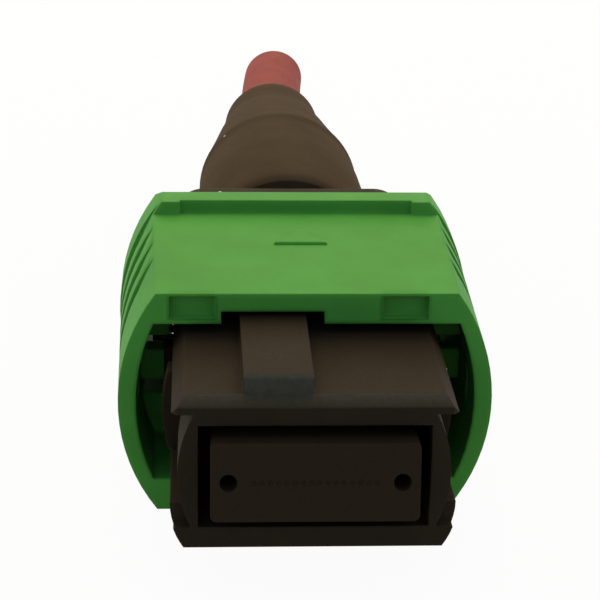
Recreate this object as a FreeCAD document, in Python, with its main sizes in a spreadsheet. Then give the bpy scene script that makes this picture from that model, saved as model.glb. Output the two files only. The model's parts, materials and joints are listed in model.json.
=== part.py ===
import FreeCAD, Part
import math
import os
import re
import Sketcher

# MPO fibre plug with sixteen fibres in one row, offset key, sliding coupling sleeve and short boot.
# Millimetres. X is to the right, +Y runs from the plug's face to the cable, +Z is the key side.
# The origin is the centre of the ferrule's end face, on the row of fibres.

FIBRES = 16
BUNDLE_SIDE = 4  # the fibres lie in a square bundle in the cable
GRIP_GROOVES = 4
MAIN_TURNS = 7
COUPLING_TURNS = 8
FLATS_PER_HALF_TURN = 4  # straight runs that stand for half a turn of spring wire
FLATS_PER_WIRE = 6  # flats round the wire of a spring
FLATS_PER_FIBRE = 8  # flats round a fibre and its bore

SIZES = {
    # ferrule
    "ferrule_wide": 6.4,
    "ferrule_high": 2.45,
    "ferrule_round": 0.2,
    "ferrule_long": 8.0,
    "face_slope": 8.0,
    "flange_wide": 7.0,
    "flange_high": 3.2,
    "flange_long": 2.1,
    "guide_pitch": 5.3,
    "guide_bore": 0.55,
    "fibre_pitch": 0.25,
    "glass_bore": 0.145,
    "glue_window_start": 2.6,
    "glue_window_long": 2.2,
    "cavity_wide": 4.3,
    "cavity_high": 0.9,
    "sleeve_seat_long": 2.4,
    "glass_hole_long": 3.8,
    "cut_clear": 1.0,
    "weld": 0.1,
    # fibres
    "glass_wide": 0.125,
    "coat_wide": 0.2,
    "glass_long": 5.0,
    "bundle_pitch": 0.34,
    "fan_start": 9.6,
    "fan_long": 9.6,
    # pieces that ride with the ferrule
    "tail_wide": 4.3,
    "tail_high": 1.6,
    "tail_long": 3.5,
    "tail_slot_high": 0.26,
    "tail_gap": 0.05,
    "tail_round": 0.2,
    "keeper_long": 1.5,
    "keeper_gap": 0.04,
    # inner housing
    "nose_start": 0.6,
    "nose_long": 2.4,
    "nose_high": 5.0,
    "nose_side_radius": 4.2,
    "nose_bevel_high": 0.27,
    "nose_bevel_deep": 0.45,
    "nose_corner": 0.18,
    "side_wide": 8.88,
    "shoulder_wide": 8.76,
    "top_flat": 8.0,
    "top_thick": 0.5,
    "flank_radius": 2.4,
    "base_thick": 0.65,
    "wing_setback": 0.35,
    "latch_long": 1.8,
    "band_radius": 4.73,
    "band_height": 0.24,
    "band_long": 0.8,
    "window_wide": 7.14,
    "window_high": 3.44,
    "window_drop": 0.08,
    "barrel_long": 15.2,
    "channel_floor": 7.7,
    "channel_top": 0.85,
    "channel_low": 1.14,
    "ledge_thick": 0.85,
    "ledge_gap": 0.1,
    "key_wide": 2.15,
    "key_high": 0.6,
    "key_offset": 1.125,
    "key_setback": 0.45,
    "key_long": 10.95,
    "key_bevel": 0.12,
    # stops and springs of the coupling
    "stop_start": 8.6,
    "stop_thick": 0.8,
    "stop_wide": 9.44,
    "stop_gap": 0.05,
    "rib_thick": 0.8,
    "rib_high": 1.1,
    "rib_reach": 1.7,
    "rib_sink": 0.3,
    "guide_gap": 0.1,
    "guide_root": 5.3,
    "coupling_room": 5.8,
    "coupling_coil": 1.2,
    "coupling_wire": 0.18,
    "coupling_gap": 0.12,
    # coupling sleeve
    "sleeve_start": 5.8,
    "sleeve_long": 9.9,
    "sleeve_reach": 6.2,
    "sleeve_bulge": 6.56,
    "sleeve_flare": 0.22,
    "sleeve_high": 7.76,
    "bore_reach": 5.61,
    "bore_bulge": 7.12,
    "bore_top": 2.85,
    "bore_low": 2.75,
    "rail_setback": 3.2,
    "rail_gap": 0.08,
    "rail_wide": 8.4,
    "pad_setback": 1.6,
    "pad_thick": 0.06,
    "pad_high": 1.3,
    "keyway_side": 0.61,
    "keyway_rise": 0.18,
    "inset_wide": 1.48,
    "inset_high": 0.75,
    "inset_deep": 0.3,
    "inset_roof": 0.08,
    "inset_spread": 6.94,
    "inset_offset": 0.28,
    "lip_long": 1.94,
    "lip_high": 0.46,
    "lip_bevel_long": 0.75,
    "lip_bevel_drop": 0.34,
    "lip_hollow_wide": 8.4,
    "lip_hollow_deep": 0.2,
    "grip_setback": 3.1,
    "grip_pitch": 1.6,
    "grip_wide": 0.8,
    "grip_deep": 0.22,
    "grip_centre": 1.84,
    "grip_turn": 68.0,
    # spring push
    "push_block_long": 2.2,
    "push_gap": 0.07,
    "push_flange_long": 0.9,
    "push_flange_wide": 9.0,
    "push_flange_high": 6.2,
    "push_flange_round": 1.2,
    "push_slot_wide": 3.4,
    "push_slot_high": 1.5,
    "arm_long": 3.4,
    "arm_thick": 0.4,
    "arm_high": 1.2,
    "hook_long": 0.8,
    "hook_reach": 0.24,
    "hook_gap": 0.1,
    "stem_wide": 3.4,
    "stem_bore": 2.2,
    "stem_long": 4.3,
    "main_wire": 0.36,
    "main_coil_wide": 5.9,
    "main_coil_high": 2.7,
    "spring_gap": 0.03,
    # crimp, cable and boot
    "yarn_thick": 0.2,
    "yarn_core": 1.68,
    "yarn_setback": 1.0,
    "yarn_funnel": 0.9,
    "yarn_end_gap": 0.1,
    "jacket_gap": 0.02,
    "jacket_wide": 3.0,
    "jacket_bore": 2.0,
    "cable_stub": 8.8,
    "crimp_gap": 0.03,
    "crimp_setback": 0.1,
    "crimp_wall": 0.36,
    "crimp_front_long": 4.7,
    "crimp_cone_long": 0.9,
    "crimp_rear_long": 3.4,
    "boot_gap": 0.04,
    "boot_seat_gap": 0.1,
    "boot_setback": 0.53,
    "boot_mouth_wide": 6.5,
    "boot_mouth_round": 0.4,
    "boot_mouth_flare": 0.2,
    "boot_wide": 7.2,
    "boot_barrel_long": 9.1,
    "boot_ring_step": 0.08,
    "boot_neck_long": 9.9,
    "boot_end_wide": 4.9,
    "boot_end_round": 0.6,
}

doc = FreeCAD.newDocument("mpo_plug")
sheet = doc.addObject("Spreadsheet::Sheet", "sizes")
for row, (alias, value) in enumerate(SIZES.items(), start=1):
    sheet.set(f"A{row}", alias)
    sheet.set(f"B{row}", str(value))
    sheet.setAlias(f"B{row}", alias)
doc.recompute()

# Places along the plug, each worked out from the sizes above.
NOSE_END = "(nose_start + nose_long)"
BARREL_START = "(nose_start + nose_long + latch_long)"
BARREL_END = "(nose_start + nose_long + barrel_long)"
FLANGE_START = "(ferrule_long - flange_long)"
LEDGE_END = "(ferrule_long - flange_long)"
KEEPER_START = "(ferrule_long + keeper_gap)"
KEEPER_END = "(ferrule_long + keeper_gap + keeper_long)"
TAIL_START = "(ferrule_long - sleeve_seat_long + tail_gap)"
RIB_START = "(stop_start + stop_thick + stop_gap)"
RIB_END = "(stop_start + stop_thick + stop_gap + rib_thick)"
REAR_STOP = "(stop_start + stop_thick + stop_gap + rib_thick + coupling_room)"
SLEEVE_END = "(sleeve_start + sleeve_long)"
CHANNEL_MIDDLE = "((channel_top - channel_low) / 2)"
FLANK_CENTRE = "(side_wide / 2 - flank_radius)"
KEY_TOP = "(nose_high / 2 + key_high)"
BLOCK_START = "(nose_start + nose_long + barrel_long + push_gap - push_block_long)"
PUSH_FLANGE_START = "(nose_start + nose_long + barrel_long + push_gap)"
STEM_START = "(nose_start + nose_long + barrel_long + push_gap + push_flange_long)"
STEM_END = "(nose_start + nose_long + barrel_long + push_gap + push_flange_long + stem_long)"
YARN_OUTER = "(stem_wide / 2 + crimp_gap + yarn_thick)"
CRIMP_FRONT_BORE = "(stem_wide / 2 + 2 * crimp_gap + yarn_thick)"
CRIMP_REAR_BORE = "(jacket_wide / 2 + crimp_gap)"
CRIMP_START = "(nose_start + nose_long + barrel_long + push_gap + push_flange_long + crimp_setback)"
JACKET_START = (
    "(nose_start + nose_long + barrel_long + push_gap + push_flange_long + stem_long + yarn_funnel)"
)
BOOT_START = "(nose_start + nose_long + barrel_long + push_gap + push_flange_long + boot_setback)"
BOOT_RING = f"({BOOT_START} + boot_barrel_long)"
BOOT_END = f"({BOOT_START} + boot_barrel_long + boot_neck_long)"
CABLE_END = f"({BOOT_END} + cable_stub)"


def sized(text):
    """An expression in which each size's name is read from the sheet."""
    return re.sub(r"[a-z][a-z_]*", lambda m: "sizes." + m[0] if m[0] in SIZES else m[0], str(text))


def number(text):
    """The value of an expression in the sizes, in millimetres or degrees."""
    return float(sheet.evalExpression(str(text)))


def bind(obj, prop, text):
    obj.setExpression(prop, sized(text))


def new_body(label):
    body = doc.addObject("PartDesign::Body", label)
    body.Label = label
    return body


def plane_of(body, role):
    return next(f for f in body.Origin.OriginFeatures if f.Role == role)


def new_sketch(body, name, role, offset="0"):
    """A sketch on one of the body's own planes, moved along that plane's normal by offset."""
    sketch = body.newObject("Sketcher::SketchObject", name)
    sketch.AttachmentSupport = [(plane_of(body, role), "")]
    sketch.MapMode = "FlatFace"
    bind(sketch, "AttachmentOffset.Base.z", offset)
    doc.recompute()
    return sketch


def section_at(body, name, place):
    """A sketch across the plug at the distance place from the origin; its axes are X and Z."""
    return new_sketch(body, name, "XZ_Plane", f"-({place})")


def fix_point(sketch, geometry, position, across=None, up=None):
    for kind, text in (("DistanceX", across), ("DistanceY", up)):
        if text is not None:
            index = sketch.addConstraint(
                Sketcher.Constraint(kind, -1, 1, geometry, position, number(text))
            )
            bind(sketch, f"Constraints[{index}]", text)


def add_outline(sketch, corners):
    """A closed outline, counterclockwise. A corner is (across, up), or (across, up, centre) where
    the run to the next corner is an arc about centre, which turns counterclockwise."""
    values = [(number(c[0]), number(c[1])) for c in corners]
    runs = []
    for i, corner in enumerate(corners):
        start = FreeCAD.Vector(*values[i], 0)
        end = FreeCAD.Vector(*values[(i + 1) % len(corners)], 0)
        if len(corner) == 3:
            centre = FreeCAD.Vector(number(corner[2][0]), number(corner[2][1]), 0)
            first = math.atan2(start.y - centre.y, start.x - centre.x)
            last = math.atan2(end.y - centre.y, end.x - centre.x)
            circle = Part.Circle(centre, FreeCAD.Vector(0, 0, 1), (start - centre).Length)
            runs.append(sketch.addGeometry(Part.ArcOfCircle(circle, first, last)))
        else:
            runs.append(sketch.addGeometry(Part.LineSegment(start, end)))
    for i, corner in enumerate(corners):
        before = i - 1
        after_arc = len(corners[before]) == 3
        sketch.addConstraint(Sketcher.Constraint("Coincident", runs[before], 2, runs[i], 1))
        if len(corner) == 3:
            fix_point(sketch, runs[i], 3, corner[2][0], corner[2][1])
        if not after_arc:
            fix_point(sketch, runs[i], 1, corner[0], corner[1])
            continue
        # the arc before already holds this corner at its radius, so one coordinate is enough
        centre_x = number(corners[before][2][0])
        centre_y = number(corners[before][2][1])
        if abs(values[i][0] - centre_x) > abs(values[i][1] - centre_y):
            fix_point(sketch, runs[i], 1, None, corner[1])
        else:
            fix_point(sketch, runs[i], 1, corner[0], None)


def add_box(sketch, left, right, low, top):
    add_outline(sketch, [(left, low), (right, low), (right, top), (left, top)])


def add_centred_box(sketch, wide, high):
    add_box(sketch, f"-{wide} / 2", f"{wide} / 2", f"-{high} / 2", f"{high} / 2")


def add_round_box(sketch, wide, high, corner):
    """A centred rectangle with round corners."""
    across = f"({wide} / 2)"
    up = f"({high} / 2)"
    inner_x = f"({wide} / 2 - {corner})"
    inner_y = f"({high} / 2 - {corner})"
    add_outline(
        sketch,
        [
            (inner_x, f"-{up}", (inner_x, f"-{inner_y}")),
            (across, f"-{inner_y}"),
            (across, inner_y, (inner_x, inner_y)),
            (inner_x, up),
            (f"-{inner_x}", up, (f"-{inner_x}", inner_y)),
            (f"-{across}", inner_y),
            (f"-{across}", f"-{inner_y}", (f"-{inner_x}", f"-{inner_y}")),
            (f"-{inner_x}", f"-{up}"),
        ],
    )


def add_barrel_box(sketch, reach, bulge, top, low):
    """A flat top and a flat bottom joined by side arcs, which reach so far across at mid height
    and have the radius bulge."""
    centre = f"({reach} - {bulge})"
    top_x = f"({centre} + sqrt({bulge} ^ 2 - {top} ^ 2))"
    low_x = f"({centre} + sqrt({bulge} ^ 2 - {low} ^ 2))"
    add_outline(
        sketch,
        [
            (low_x, f"-{low}", (centre, "0")),
            (top_x, top),
            (f"-{top_x}", top, (f"-{centre}", "0")),
            (f"-{low_x}", f"-{low}"),
        ],
    )


def add_circle(sketch, across, up, radius):
    centre = FreeCAD.Vector(number(across), number(up), 0)
    circle = sketch.addGeometry(Part.Circle(centre, FreeCAD.Vector(0, 0, 1), number(radius)))
    fix_point(sketch, circle, 3, across, up)
    index = sketch.addConstraint(Sketcher.Constraint("Radius", circle, number(radius)))
    bind(sketch, f"Constraints[{index}]", radius)


def add_flat_round(sketch, across, radius, flats):
    """A round of so many flats, with its centre at the given distance across."""
    step = 360 / flats
    turns = [f"({step} * {k + 0.5})" for k in range(flats)]
    corners = [(f"{across} + {radius} * cos{t}", f"{radius} * sin{t}") for t in turns]
    add_outline(sketch, corners)


def pad(body, sketch, name, length, backward=False):
    """Adds the sketch's section, drawn out toward the cable for sketches across the plug."""
    feature = body.newObject("PartDesign::Pad", name)
    feature.Profile = sketch
    feature.Reversed = not backward
    bind(feature, "Length", length)
    doc.recompute()
    return feature


def pocket(body, sketch, name, length):
    """Cuts the sketch's section toward the cable for sketches across the plug."""
    before = body.Shape.Volume
    feature = body.newObject("PartDesign::Pocket", name)
    feature.Profile = sketch
    bind(feature, "Length", length)
    doc.recompute()
    if body.Shape.Volume >= before:
        raise RuntimeError(f"{name} cuts nothing")
    return feature


def cut_across(body, sketch, name):
    """Cuts the section of a sketch on the plug's middle plane right across the plug."""
    before = body.Shape.Volume
    feature = body.newObject("PartDesign::Pocket", name)
    feature.Profile = sketch
    feature.Reversed = True
    bind(feature, "Length", "4 * sleeve_reach")
    doc.recompute()
    if body.Shape.Volume >= before:
        raise RuntimeError(f"{name} cuts nothing")
    return feature


def revolve(body, sketch, name):
    """Turns the sketch's section about the plug's axis."""
    feature = body.newObject("PartDesign::Revolution", name)
    feature.Profile = sketch
    feature.ReferenceAxis = (sketch, ["V_Axis"])
    feature.Angle = 360.0
    doc.recompute()
    return feature


def edge_names(shape, wanted):
    return [f"Edge{i}" for i, edge in enumerate(shape.Edges, start=1) if wanted(edge)]


def bevel(body, feature, name, length, wanted):
    """A chamfer of the given length on each edge of the feature that is wanted."""
    chamfer = body.newObject("PartDesign::Chamfer", name)
    chamfer.Base = (feature, edge_names(feature.Shape, wanted))
    bind(chamfer, "Size", length)
    doc.recompute()
    return chamfer


def lies_at(edge, along=None, height=None):
    """Whether the whole edge lies at one distance along the plug and at one height."""
    box = edge.BoundBox
    at_place = along is None or max(abs(box.YMin - along), abs(box.YMax - along)) < 1e-4
    at_height = height is None or max(abs(box.ZMin - height), abs(box.ZMax - height)) < 1e-4
    return at_place and at_height


def fibre_name(number_in_row):
    return f"fibre_{number_in_row:02d}"


def build_ferrule():
    body = new_body("mt_ferrule")
    front = section_at(body, "ferrule_section", "-cut_clear")
    add_round_box(front, "ferrule_wide", "ferrule_high", "ferrule_round")
    pad(body, front, "ferrule_body", "ferrule_long + cut_clear")
    flange = section_at(body, "flange_section", FLANGE_START)
    add_round_box(flange, "flange_wide", "flange_high", "ferrule_round")
    pad(body, flange, "flange", "flange_long")

    # the end face leans back by face_slope from the bottom edge to the key side
    slope = new_sketch(body, "face_slope_section", "YZ_Plane", "-ferrule_wide")
    lean = "(tan(face_slope) * flange_high)"
    add_outline(
        slope,
        [
            ("-2 * cut_clear", "-flange_high"),
            (f"-{lean}", "-flange_high"),
            (lean, "flange_high"),
            ("-2 * cut_clear", "flange_high"),
        ],
    )
    cut_across(body, slope, "sloped_face")

    holes = section_at(body, "hole_section", "-cut_clear")
    for side in (-1, 1):
        add_circle(holes, f"{side} * guide_pitch / 2", "0", "guide_bore / 2")
    pocket(body, holes, "guide_holes", "ferrule_long + 2 * cut_clear")
    glass = section_at(body, "glass_section", "-cut_clear")
    add_flat_round(glass, f"-{FIBRES - 1} / 2 * fibre_pitch", "glass_bore / 2", FLATS_PER_FIBRE)
    first_hole = pocket(body, glass, "first_glass_hole", "glass_hole_long")
    row = body.newObject("PartDesign::LinearPattern", "glass_holes")
    row.Originals = [first_hole]
    row.Direction = (glass, ["H_Axis"])
    row.Occurrences = FIBRES
    bind(row, "Length", f"{FIBRES - 1} * fibre_pitch")
    body.Tip = row
    doc.recompute()

    cavity = section_at(body, "cavity_section", "glue_window_start")
    add_centred_box(cavity, "cavity_wide", "cavity_high")
    pocket(body, cavity, "cavity", "ferrule_long")
    seat = section_at(body, "tail_seat_section", "ferrule_long - sleeve_seat_long")
    add_centred_box(seat, "(tail_wide + 2 * tail_gap)", "(tail_high + 2 * tail_gap)")
    pocket(body, seat, "tail_seat", "ferrule_long")
    window = new_sketch(body, "glue_window_section", "XY_Plane", "flange_high")
    add_box(
        window,
        "-cavity_wide / 2",
        "cavity_wide / 2",
        "glue_window_start",
        "glue_window_start + glue_window_long",
    )
    pocket(body, window, "glue_window", "flange_high")
    return body


def build_pin_keeper():
    body = new_body("pin_keeper")
    plate = section_at(body, "keeper_section", KEEPER_START)
    add_round_box(plate, "flange_wide", "flange_high", "ferrule_round")
    pad(body, plate, "plate", "keeper_long")
    openings = section_at(body, "keeper_openings", KEEPER_START)
    add_centred_box(openings, "(tail_wide + 2 * tail_gap)", "(tail_high + 2 * tail_gap)")
    for side in (-1, 1):
        add_circle(openings, f"{side} * guide_pitch / 2", "0", "guide_bore / 2")
    pocket(body, openings, "openings", "2 * keeper_long")
    return body


def build_tail():
    """The soft block that holds the fibres in line where they leave the ferrule."""
    body = new_body("ferrule_boot")
    block = section_at(body, "tail_section", TAIL_START)
    add_round_box(block, "tail_wide", "tail_high", "tail_round")
    pad(body, block, "block", "tail_long")
    slot = section_at(body, "tail_slot_section", TAIL_START)
    slot_wide = f"({FIBRES} * fibre_pitch + tail_gap)"
    add_centred_box(slot, slot_wide, "tail_slot_high")
    pocket(body, slot, "slot", "2 * tail_long")
    return body


def flank_reach(depth):
    """How far across the round flank of the housing is at this depth below the middle."""
    return f"({FLANK_CENTRE} + sqrt(flank_radius ^ 2 - ({depth} - channel_low) ^ 2))"


def add_housing_outline(sketch, channel):
    """The housing behind its nose: slanted shoulders, flat sides with a channel in each, which
    goes up to the height channel, and round flanks at the bottom."""
    top = "(nose_high / 2)"
    under_top = "(nose_high / 2 - top_thick)"
    right = [
        (flank_reach(top), f"-{top}", (FLANK_CENTRE, "-channel_low")),
        ("side_wide / 2", "-channel_low"),
        ("channel_floor / 2", "-channel_low"),
        ("channel_floor / 2", channel),
        ("shoulder_wide / 2", channel),
        ("shoulder_wide / 2", under_top),
        ("top_flat / 2", top),
    ]
    if channel == under_top:
        right.pop(5)
    left = [(f"-{corner[0]}", corner[1]) for corner in reversed(right)]
    left[-2] = (*left[-2], (f"-{FLANK_CENTRE}", "-channel_low"))
    add_outline(sketch, right + left)


def build_inner_housing():
    body = new_body("inner_housing")
    nose = section_at(body, "nose_section", "nose_start")
    top = "(nose_high / 2)"
    under_top = "(nose_high / 2 - top_thick)"
    over_base = "(nose_high / 2 - base_thick)"
    top_foot = f"sqrt(nose_side_radius ^ 2 - {under_top} ^ 2)"
    base_foot = f"sqrt(nose_side_radius ^ 2 - {over_base} ^ 2)"
    base_low = flank_reach(top)
    base_edge = flank_reach(over_base)
    add_outline(
        nose,
        [
            (base_low, f"-{top}", (FLANK_CENTRE, "-channel_low")),
            (base_edge, f"-{over_base}"),
            (base_foot, f"-{over_base}", ("0", "0")),
            (top_foot, under_top),
            ("shoulder_wide / 2", under_top),
            ("top_flat / 2", top),
            ("-top_flat / 2", top),
            ("-shoulder_wide / 2", under_top),
            (f"-{top_foot}", under_top, ("0", "0")),
            (f"-{base_foot}", f"-{over_base}"),
            (f"-{base_edge}", f"-{over_base}", (f"-{FLANK_CENTRE}", "-channel_low")),
            (f"-{base_low}", f"-{top}"),
        ],
    )
    pad(body, nose, "nose", "nose_long")

    wings = section_at(body, "wing_section", "nose_start + wing_setback")
    add_outline(
        wings,
        [
            (base_low, f"-{top}", (FLANK_CENTRE, "-channel_low")),
            ("side_wide / 2", "-channel_low"),
            ("window_wide / 2", "-channel_low"),
            ("window_wide / 2", f"-{top}"),
        ],
    )
    add_outline(
        wings,
        [
            ("-window_wide / 2", f"-{top}"),
            ("-window_wide / 2", "-channel_low"),
            ("-side_wide / 2", "-channel_low", (f"-{FLANK_CENTRE}", "-channel_low")),
            (f"-{base_low}", f"-{top}"),
        ],
    )
    pad(body, wings, "wings", "nose_long - wing_setback")

    # behind the nose the sides are open up to the top plate, for the hooks of an adapter
    latch = section_at(body, "latch_section", NOSE_END)
    add_housing_outline(latch, under_top)
    pad(body, latch, "latch_recess", "latch_long")
    barrel = section_at(body, "barrel_section", BARREL_START)
    add_housing_outline(barrel, "channel_top")
    pad(body, barrel, "barrel", "barrel_long - latch_long")

    band = section_at(body, "band_section", BARREL_START)
    band_edge = "sqrt(band_radius ^ 2 - (channel_low + band_height) ^ 2)"
    band_top = "(channel_low + 2 * band_height)"
    add_outline(
        band,
        [
            (band_edge, "-channel_low", ("0", "band_height")),
            (band_edge, band_top),
            (f"-{band_edge}", band_top, ("0", "band_height")),
            (f"-{band_edge}", "-channel_low"),
        ],
    )
    pad(body, band, "band", "band_long")

    # blocks in the side channels: the forward stop of the sleeve and the springs' rear seat
    for name, place in (("front_stops", "stop_start"), ("rear_stops", REAR_STOP)):
        blocks = section_at(body, f"{name}_section", place)
        for side in (1, -1):
            edges = [f"{side} * (channel_floor / 2 - weld)", f"{side} * stop_wide / 2"]
            add_box(blocks, edges[side < 0], edges[side > 0], "-channel_low", "channel_top")
        pad(body, blocks, name, "stop_thick")

    # the front edge of the top plate slopes down, and its front corners are cut off
    slope = new_sketch(body, "nose_bevel_section", "YZ_Plane", "-side_wide")
    add_outline(
        slope,
        [
            ("nose_start - weld", f"{top} - nose_bevel_high"),
            ("nose_start", f"{top} - nose_bevel_high"),
            ("nose_start + nose_bevel_deep", top),
            ("nose_start + nose_bevel_deep", f"{top} + weld"),
            ("nose_start - weld", f"{top} + weld"),
        ],
    )
    cut_across(body, slope, "nose_bevel")
    corners = new_sketch(body, "nose_corner_section", "XY_Plane", f"{top} + weld")
    for side in (1, -1):
        add_outline(
            corners,
            [
                (f"{side} * (shoulder_wide / 2 - nose_corner)", "nose_start"),
                (f"{side} * (shoulder_wide / 2 - nose_corner)", "nose_start - weld"),
                (f"{side} * (shoulder_wide / 2 + weld)", "nose_start - weld"),
                (f"{side} * (shoulder_wide / 2 + weld)", "nose_start + nose_corner"),
                (f"{side} * shoulder_wide / 2", "nose_start + nose_corner"),
            ],
        )
    pocket(body, corners, "nose_corners", "top_thick + 2 * weld")

    key = section_at(body, "key_section", "nose_start + key_setback")
    add_box(
        key,
        "-key_offset - key_wide / 2",
        "-key_offset + key_wide / 2",
        f"{top} - weld",
        KEY_TOP,
    )
    key_pad = pad(body, key, "key", "key_long")
    key_start = number("nose_start + key_setback")
    key_high = number(KEY_TOP)
    bevel(body, key_pad, "key_bevel", "key_bevel", lambda e: lies_at(e, key_start, key_high))

    window = section_at(body, "window_section", "nose_start")
    edges = ["-window_high / 2 - window_drop", "window_high / 2 - window_drop"]
    add_box(window, "-window_wide / 2", "window_wide / 2", *edges)
    pocket(body, window, "window", f"{LEDGE_END} - ledge_thick - nose_start")
    ledge = section_at(body, "ledge_section", f"{LEDGE_END} - ledge_thick - weld")
    add_centred_box(ledge, "(ferrule_wide + 2 * ledge_gap)", "(ferrule_high + 2 * ledge_gap)")
    pocket(body, ledge, "ledge_opening", "ledge_thick + 2 * weld")
    chamber = section_at(body, "chamber_section", LEDGE_END)
    add_centred_box(chamber, "window_wide", "window_high")
    pocket(body, chamber, "chamber", "barrel_long")

    # windows in the side walls, which the hooks of the spring push snap into
    catch = new_sketch(body, "catch_section", "YZ_Plane", "-side_wide")
    hook_start = f"({BLOCK_START} - arm_long)"
    add_box(
        catch,
        f"{hook_start} - hook_gap",
        f"{hook_start} + hook_long + hook_gap",
        "-arm_high / 2 - hook_gap",
        "arm_high / 2 + hook_gap",
    )
    cut_across(body, catch, "catches")
    return body


def build_sleeve():
    body = new_body("outer_housing")
    half = "(sleeve_high / 2)"
    rear_reach = "(sleeve_reach + sleeve_flare)"
    rear_bulge = "(sleeve_bulge + sleeve_flare)"
    front = section_at(body, "sleeve_front_section", "sleeve_start")
    add_barrel_box(front, "sleeve_reach", "sleeve_bulge", half, half)
    rear = section_at(body, "sleeve_rear_section", SLEEVE_END)
    add_barrel_box(rear, rear_reach, rear_bulge, half, half)
    shell = body.newObject("PartDesign::AdditiveLoft", "shell")
    shell.Profile = front
    shell.Sections = [rear]
    doc.recompute()

    # a lip at the rear end, hollow in front and sloped down behind, on the top and the bottom
    lips = section_at(body, "lip_section", f"{SLEEVE_END} - lip_long")
    lip = "(sleeve_high / 2 + lip_high)"
    add_barrel_box(lips, rear_reach, rear_bulge, lip, lip)
    pad(body, lips, "lips", "lip_long")
    hollows = section_at(body, "lip_hollow_section", f"{SLEEVE_END} - lip_long")
    for side in (1, -1):
        edges = [f"{side} * sleeve_high / 2", f"{side} * (sleeve_high / 2 + 2 * lip_high)"]
        add_box(
            hollows,
            "-lip_hollow_wide / 2",
            "lip_hollow_wide / 2",
            edges[side < 0],
            edges[side > 0],
        )
    pocket(body, hollows, "lip_hollows", "lip_hollow_deep")
    slopes = new_sketch(body, "lip_slope_section", "YZ_Plane", "-sleeve_high")
    for side in (1, -1):
        add_outline(
            slopes,
            [
                (f"{SLEEVE_END} - lip_bevel_long", f"{side} * {lip}"),
                (SLEEVE_END, f"{side} * ({lip} - lip_bevel_drop)"),
                (f"{SLEEVE_END} + weld", f"{side} * ({lip} - lip_bevel_drop)"),
                (f"{SLEEVE_END} + weld", f"{side} * ({lip} + weld)"),
                (f"{SLEEVE_END} - lip_bevel_long", f"{side} * ({lip} + weld)"),
            ],
        )
    cut_across(body, slopes, "lip_slopes")

    bore = section_at(body, "bore_section", "sleeve_start")
    add_barrel_box(bore, "bore_reach", "bore_bulge", "bore_top", "bore_low")
    pocket(body, bore, "bore", "2 * sleeve_long")

    # rails above and below, which guide the sleeve on the inner housing, and pads at the sides
    rails = section_at(body, "rail_section", "sleeve_start + rail_setback")
    rail = "(nose_high / 2 + rail_gap)"
    add_box(rails, "-rail_wide / 2", "rail_wide / 2", rail, "bore_top + weld")
    add_box(rails, "-rail_wide / 2", "rail_wide / 2", "-bore_low - weld", f"-{rail}")
    pad(body, rails, "rails", "sleeve_long - rail_setback")
    pads = section_at(body, "pad_section", "sleeve_start + pad_setback")
    for side in (1, -1):
        edges = [f"{side} * (bore_reach - pad_thick)", f"{side} * (bore_reach + weld)"]
        add_box(pads, edges[side < 0], edges[side > 0], "-pad_high / 2", "pad_high / 2")
    pad(body, pads, "pads", "sleeve_long - pad_setback")

    # guides beside the shoulders and the flanks of the inner housing, which leave the channels
    # of the springs free between them
    guides = section_at(body, "guide_section", RIB_START)
    near = "(side_wide / 2 + guide_gap)"
    spans = (
        ("channel_top + guide_gap", "bore_reach", "bore_top + weld", "guide_root"),
        ("-bore_low - weld", "guide_root", "-channel_low - guide_gap", "bore_reach"),
    )
    for side in (1, -1):
        for low, low_root, high, high_root in spans:
            corners = [(near, low), (low_root, low), (high_root, high), (near, high)]
            add_outline(guides, [(f"{side} * {c[0]}", c[1]) for c in corners[::side]])
    pad(body, guides, "guides", f"{SLEEVE_END} - {RIB_START}")

    keyway = section_at(body, "keyway_section", "sleeve_start")
    add_box(
        keyway,
        "-key_offset - key_wide / 2 - keyway_side",
        "-key_offset + key_wide / 2 + keyway_side",
        "0",
        f"{KEY_TOP} + keyway_rise",
    )
    pocket(body, keyway, "keyway", "2 * sleeve_long")

    insets = section_at(body, "inset_section", "sleeve_start")
    for side in (-1, 1):
        centre = f"({side} * inset_spread / 2 - inset_offset)"
        add_box(
            insets,
            f"{centre} - inset_wide / 2",
            f"{centre} + inset_wide / 2",
            "sleeve_high / 2 - inset_roof - inset_high",
            "sleeve_high / 2 - inset_roof",
        )
    pocket(body, insets, "insets", "inset_deep")

    # finger grooves, turned about an axis beyond the plug's own, so that their ends run out
    for side, name in ((1, "right_grips"), (-1, "left_grips")):
        grips = new_sketch(body, f"{name}_section", "XY_Plane")
        axis = f"{-side} * grip_centre"
        ends = [FreeCAD.Vector(number(axis), y, 0) for y in (0, number("cut_clear"))]
        line = grips.addGeometry(Part.LineSegment(*ends), True)
        fix_point(grips, line, 1, axis, "0")
        fix_point(grips, line, 2, axis, "cut_clear")
        for i in range(GRIP_GROOVES):
            middle = f"(sleeve_start + grip_setback + {i} * grip_pitch)"
            floor = f"(sleeve_reach + sleeve_flare * ({middle} - sleeve_start) / sleeve_long - grip_deep)"
            edges = [f"{side} * {floor}", f"{side} * (sleeve_reach + cut_clear)"]
            add_box(
                grips,
                edges[side < 0],
                edges[side > 0],
                f"{middle} - grip_wide / 2",
                f"{middle} + grip_wide / 2",
            )
        before = body.Shape.Volume
        groove = body.newObject("PartDesign::Groove", name)
        groove.Profile = grips
        groove.ReferenceAxis = (grips, ["Axis0"])
        groove.Midplane = True
        bind(groove, "Angle", "grip_turn")
        doc.recompute()
        if body.Shape.Volume >= before:
            raise RuntimeError(f"{name} cuts nothing")

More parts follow.
